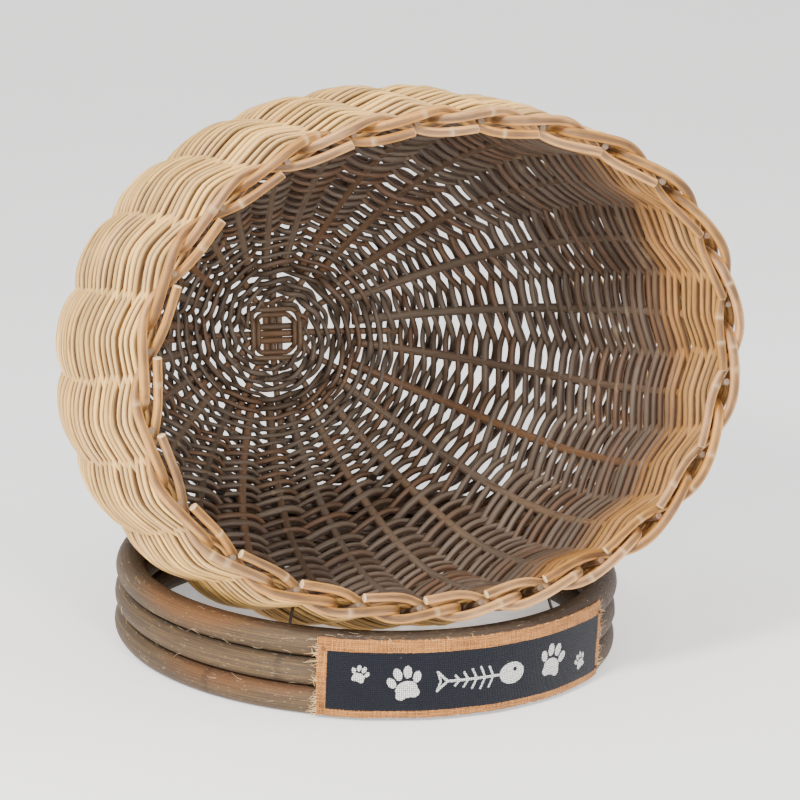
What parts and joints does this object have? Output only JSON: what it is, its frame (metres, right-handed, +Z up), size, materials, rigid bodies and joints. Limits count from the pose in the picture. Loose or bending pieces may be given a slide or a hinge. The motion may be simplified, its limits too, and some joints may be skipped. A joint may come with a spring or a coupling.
{
  "type": "wicker pet bed basket",
  "caption": "Deep wicker pet bed: a round-backed woven willow bowl lying on its side on a ring of stacked cane hoops, with a hessian label strip round the front of the ring.",
  "frame": {"origin": "on the floor under the middle of the whole object's box", "axes": "+Z up, +X to the right seen from the front, the open mouth faces -Y and the round back +Y"},
  "size_m": [0.5544, 0.5224, 0.5304],
  "materials": {
    "ring_cane": "rough weathered cane",
    "weave_outer_cane": "satin peeled willow",
    "weave_inner_cane": "satin aged willow",
    "border_cane": "satin peeled willow",
    "base_cane": "matt grey-brown willow",
    "hessian": "coarse weave",
    "steel": "satin"
  },
  "bodies": {
    "root": {"hoop_lower": "ring_cane", "hoop_middle": "ring_cane", "hoop_top": "ring_cane", "ring_pin_1": "steel", "ring_pin_2": "steel", "ring_pin_3": "steel", "ring_pin_4": "steel", "ring_pin_5": "steel", "ring_pin_6": "steel", "base_stick_across_1": "base_cane", "base_stick_across_2": "base_cane", "base_stick_across_3": "base_cane", "base_stick_upright_1": "base_cane", "base_stick_upright_2": "base_cane", "base_stick_upright_3": "base_cane", "cross_binding_inner": "base_cane", "cross_binding_outer": "base_cane", "base_weave_outer": "base_cane", "base_weave_inner": "base_cane", "side_weave_outer": "weave_outer_cane", "side_weave_inner": "weave_inner_cane", "stake_01": "border_cane", "stake_02": "border_cane", "stake_03": "border_cane", "stake_04": "border_cane", "stake_05": "border_cane", "stake_06": "border_cane", "stake_07": "border_cane", "stake_08": "border_cane", "stake_09": "border_cane", "stake_10": "border_cane", "stake_11": "border_cane", "stake_12": "border_cane", "stake_13": "border_cane", "stake_14": "border_cane", "stake_15": "border_cane", "stake_16": "border_cane", "stake_17": "border_cane", "stake_18": "border_cane", "stake_19": "border_cane", "stake_20": "border_cane", "stake_21": "border_cane", "stake_22": "border_cane", "stake_23": "border_cane", "stake_24": "border_cane", "seat_nail_1": "steel", "seat_nail_2": "steel", "seat_nail_3": "steel", "seat_nail_4": "steel", "label_hessian": "hessian", "label_tack_1": "steel", "label_tack_2": "steel", "label_tack_3": "steel", "label_tack_4": "steel"}
  },
  "joints": []
}
